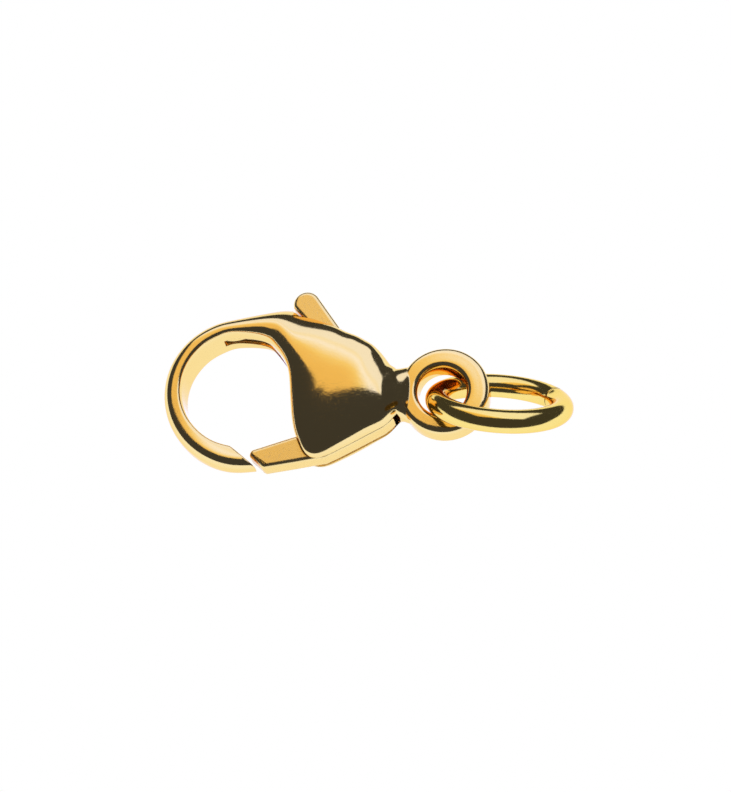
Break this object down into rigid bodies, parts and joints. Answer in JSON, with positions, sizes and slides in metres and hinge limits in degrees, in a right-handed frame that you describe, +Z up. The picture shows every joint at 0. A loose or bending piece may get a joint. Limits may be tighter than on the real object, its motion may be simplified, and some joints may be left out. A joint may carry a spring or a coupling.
{
  "type": "lobster clasp",
  "caption": "Lobster clasp in polished yellow gold: hook, domed body, eye, a pivoted lever with a thumb tab that closes the hook's mouth, and a round jump ring through the eye.",
  "frame": {"origin": "middle of the bottom of the whole part's box, on the table it lies on", "axes": "+X from the hook towards the jump ring, +Y towards the thumb tab, +Z up from the table"},
  "size_m": [0.0165, 0.0076, 0.0047],
  "materials": {
    "body_gold": "cast yellow gold, polished bright",
    "lever_gold": "stamped yellow gold, polished with a light satin on its flats",
    "pin_gold": "drawn yellow gold wire, ends dressed flush and polished",
    "wire_gold": "drawn yellow gold wire, polished"
  },
  "bodies": {
    "clasp": {"clasp_body": "body_gold", "rivet_pin": "pin_gold", "jump_ring": "wire_gold"},
    "lever": {"lever": "lever_gold"}
  },
  "joints": [
    {"name": "lever_hinge", "type": "hinge", "parent": "clasp", "child": "lever", "pos_m": [-0.0003, -0.00069, 0.0017], "axis": [0.0959, 0.0959, -0.9908], "range_deg": [0, 25], "stiffness_Nm_per_rad": 0.02}
  ]
}
